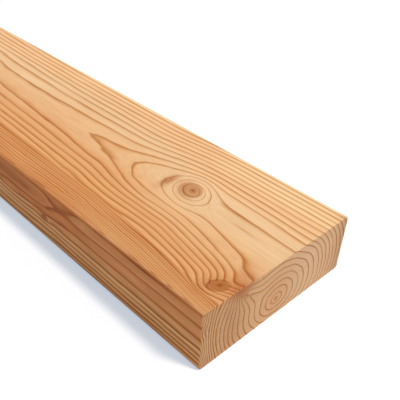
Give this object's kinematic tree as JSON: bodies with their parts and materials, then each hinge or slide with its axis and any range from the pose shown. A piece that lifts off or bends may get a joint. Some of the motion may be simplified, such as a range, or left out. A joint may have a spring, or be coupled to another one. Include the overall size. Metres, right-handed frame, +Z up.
{
  "type": "timber plank",
  "caption": "Long straight softwood plank with a rectangular section, eased long edges and square-cut ends, for framing, decking joists and general carpentry.",
  "frame": {"origin": "middle of the underside, on the floor", "axes": "+X along the length and the grain, towards the sawn end that the picture shows; +Y across the width; +Z up through the thickness"},
  "size_m": [2.4, 0.15, 0.05],
  "materials": {
    "timber": "planed, unfinished"
  },
  "bodies": {
    "root": {"plank": "timber"}
  },
  "joints": []
}
